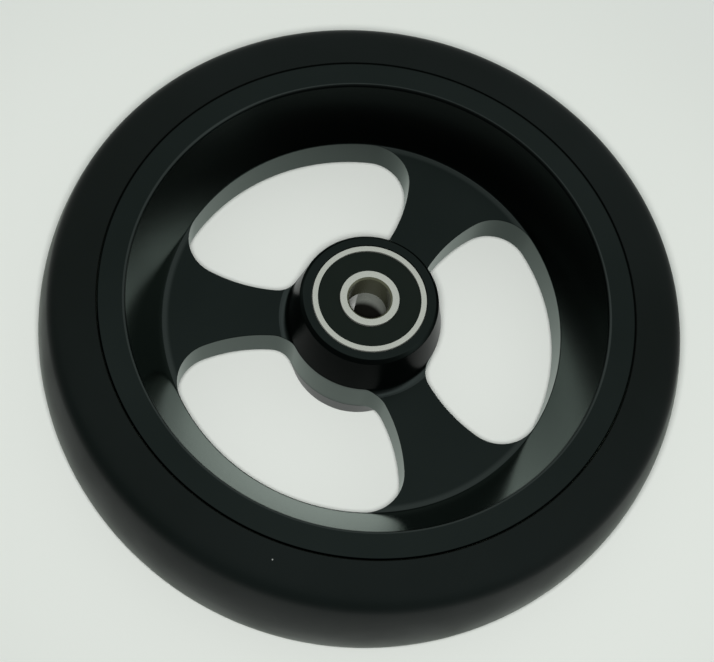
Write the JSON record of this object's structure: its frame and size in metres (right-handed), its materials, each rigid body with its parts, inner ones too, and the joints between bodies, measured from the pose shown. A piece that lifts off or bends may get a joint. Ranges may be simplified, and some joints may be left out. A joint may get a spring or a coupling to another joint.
{
  "type": "wheelchair caster wheel",
  "caption": "Small wheelchair front caster wheel: smooth black tyre on a dished black aluminium centre with curved spokes, turning on sealed ball bearings with a through axle bore.",
  "frame": {"origin": "centre of the wheel, on the axle line and the tyre's mid-plane", "axes": "+Z along the axle line, towards the side shown up in the picture; +Y along one spoke; the wheel lies flat"},
  "size_m": [0.125, 0.125, 0.031],
  "materials": {
    "tyre": "matte",
    "black_aluminium": "satin black anodised",
    "bearing_steel": "ground",
    "sleeve_steel": "bright turned",
    "seal_rubber": "satin",
    "cage_nylon": "natural",
    "ball_steel": "polished"
  },
  "bodies": {
    "axle_set": {"spacer_sleeve": "sleeve_steel", "top_bearing_inner_ring": "bearing_steel", "bottom_bearing_inner_ring": "bearing_steel"},
    "wheel": {"tyre": "tyre", "wheel_centre": "black_aluminium", "top_bearing_outer_ring": "bearing_steel", "top_bearing_outer_seal": "seal_rubber", "top_bearing_inner_seal": "seal_rubber", "bottom_bearing_outer_ring": "bearing_steel", "bottom_bearing_outer_seal": "seal_rubber", "bottom_bearing_inner_seal": "seal_rubber"},
    "top_ball_set": {"top_bearing_cage": "cage_nylon", "top_bearing_ball_1": "ball_steel", "top_bearing_ball_2": "ball_steel", "top_bearing_ball_3": "ball_steel", "top_bearing_ball_4": "ball_steel", "top_bearing_ball_5": "ball_steel", "top_bearing_ball_6": "ball_steel", "top_bearing_ball_7": "ball_steel"},
    "bottom_ball_set": {"bottom_bearing_cage": "cage_nylon", "bottom_bearing_ball_1": "ball_steel", "bottom_bearing_ball_2": "ball_steel", "bottom_bearing_ball_3": "ball_steel", "bottom_bearing_ball_4": "ball_steel", "bottom_bearing_ball_5": "ball_steel", "bottom_bearing_ball_6": "ball_steel", "bottom_bearing_ball_7": "ball_steel"}
  },
  "joints": [
    {"name": "wheel_spin", "type": "hinge", "parent": "axle_set", "child": "wheel", "pos_m": [0, 0, 0], "axis": [0, 0, 1], "continuous": true},
    {"name": "top_ball_orbit", "type": "hinge", "parent": "axle_set", "child": "top_ball_set", "pos_m": [0, 0, 0], "axis": [0, 0, 1], "continuous": true},
    {"name": "bottom_ball_orbit", "type": "hinge", "parent": "axle_set", "child": "bottom_ball_set", "pos_m": [0, 0, 0], "axis": [0, 0, 1], "continuous": true}
  ],
  "couplings": [
    {"joint": "top_ball_orbit", "follows": "wheel_spin", "ratio": 0.6323},
    {"joint": "bottom_ball_orbit", "follows": "wheel_spin", "ratio": 0.6323}
  ]
}
